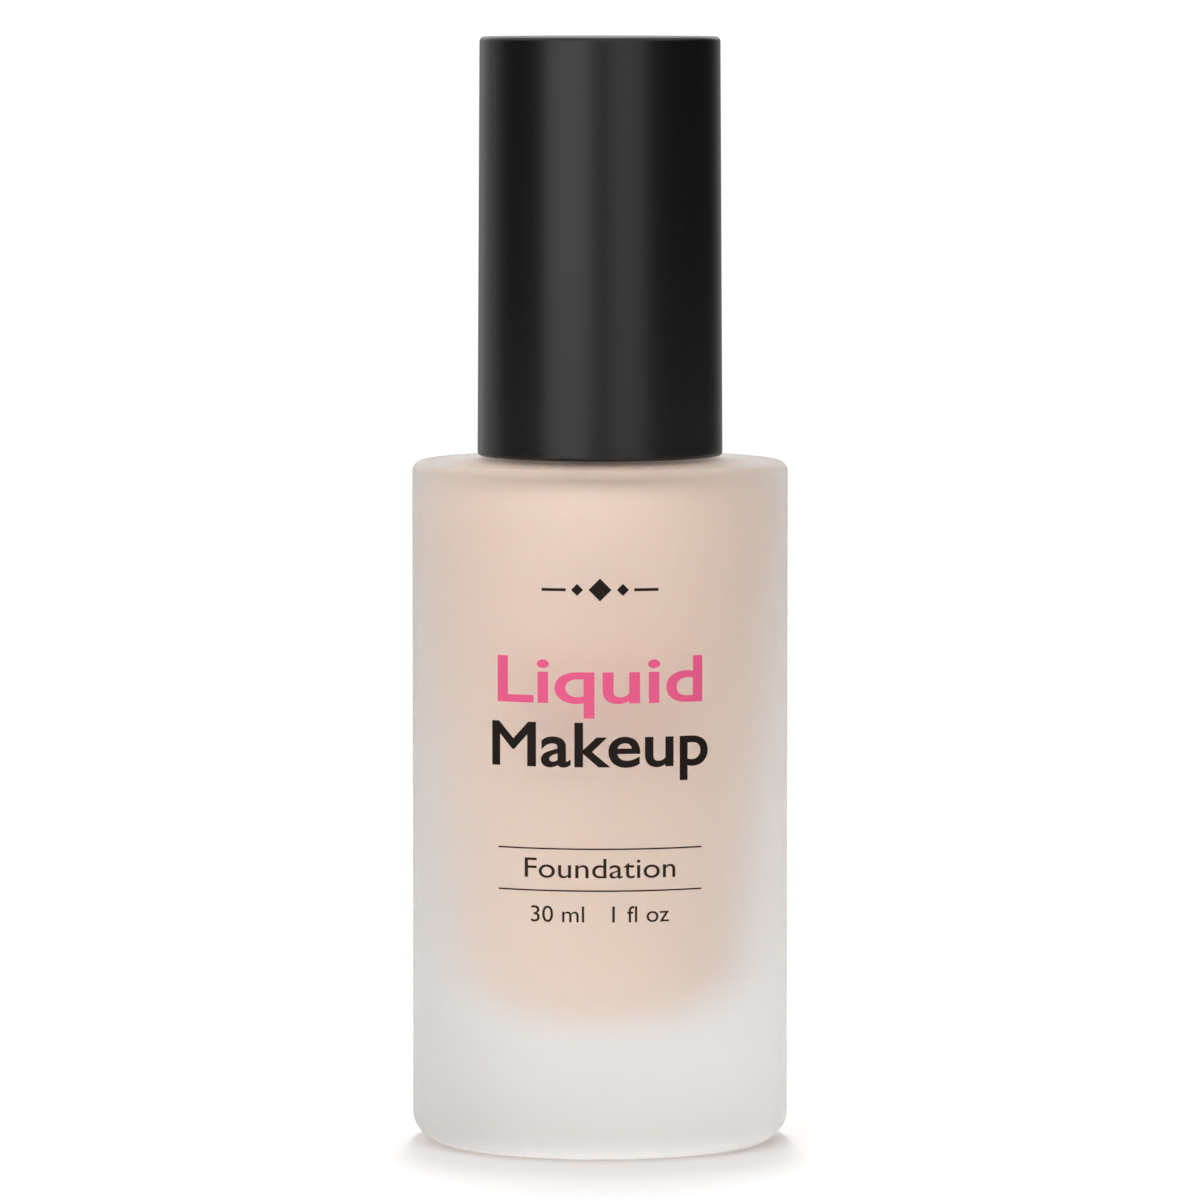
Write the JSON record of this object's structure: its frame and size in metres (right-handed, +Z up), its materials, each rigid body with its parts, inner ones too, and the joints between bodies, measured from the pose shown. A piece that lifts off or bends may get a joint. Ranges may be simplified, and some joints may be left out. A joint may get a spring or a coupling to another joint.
{
  "type": "foundation bottle",
  "caption": "Frosted glass cosmetic bottle with a heavy base, a screw-on lotion pump and a tall satin overcap that lifts off.",
  "frame": {"origin": "middle of the standing face, on the bottle's axis", "axes": "+Z up along the bottle's axis; the printed front and the spout face -Y"},
  "size_m": [0.04, 0.04, 0.1178],
  "materials": {
    "frosted_glass": "acid-etched satin outside, clear bore",
    "liquid_foundation": "opaque beige cream",
    "cap_black": "satin black moulding",
    "liner_black": "plain moulded black",
    "collar_black": "polished black",
    "button_black": "fine satin black",
    "pump_natural": "natural translucent moulding",
    "tube_natural": "natural translucent extrusion",
    "closure_white": "plain white moulding",
    "gasket_foam": "white sealing disc",
    "seal_rubber": "soft moulded seal",
    "steel": "bright drawn wire and ball"
  },
  "bodies": {
    "bottle": {"glass_bottle": "frosted_glass", "foundation_fill": "liquid_foundation"},
    "cap": {"cap_shell": "cap_black", "cap_liner": "liner_black"},
    "pump_base": {"pump_housing": "pump_natural", "neck_gasket": "gasket_foam", "dip_tube": "tube_natural", "chaplet": "pump_natural", "stem_seal": "seal_rubber", "ball_cage": "pump_natural", "return_spring": "steel"},
    "closure_ring": {"closure": "closure_white", "collar": "collar_black"},
    "plunger": {"stem": "pump_natural", "piston_core": "pump_natural"},
    "sleeve_piston": {"piston": "tube_natural"},
    "check_ball": {"inlet_ball": "steel"},
    "head": {"actuator_core": "pump_natural", "actuator_button": "button_black", "nozzle_insert": "button_black"}
  },
  "joints": [
    {"name": "cap_lift", "type": "slide", "parent": "closure_ring", "child": "cap", "axis": [0, 0, 1], "range_m": [0, 0.045]},
    {"name": "pump_lift", "type": "slide", "parent": "bottle", "child": "pump_base", "axis": [0, 0, 1], "range_m": [0, 0.00397]},
    {"name": "closure_turn", "type": "hinge", "parent": "pump_base", "child": "closure_ring", "pos_m": [0, 0, 0.09015], "axis": [0, 0, 1], "range_deg": [0, 450]},
    {"name": "pump_press", "type": "slide", "parent": "pump_base", "child": "plunger", "axis": [0, 0, -1], "range_m": [0, 0.0045], "stiffness_N_per_m": 1200, "springref_m": -0.006, "deforming": ["return_spring"]},
    {"name": "piston_slip", "type": "slide", "parent": "plunger", "child": "sleeve_piston", "axis": [0, 0, 1], "range_m": [0, 0.0008]},
    {"name": "ball_rise", "type": "slide", "parent": "pump_base", "child": "check_ball", "axis": [0, 0, 1], "range_m": [0, 0.001]},
    {"name": "head_turn", "type": "hinge", "parent": "plunger", "child": "head", "pos_m": [0, 0, 0.0993], "axis": [0, 0, 1], "continuous": true}
  ],
  "couplings": [
    {"joint": "pump_lift", "follows": "closure_turn", "m_per_rad": 0.00050532}
  ]
}
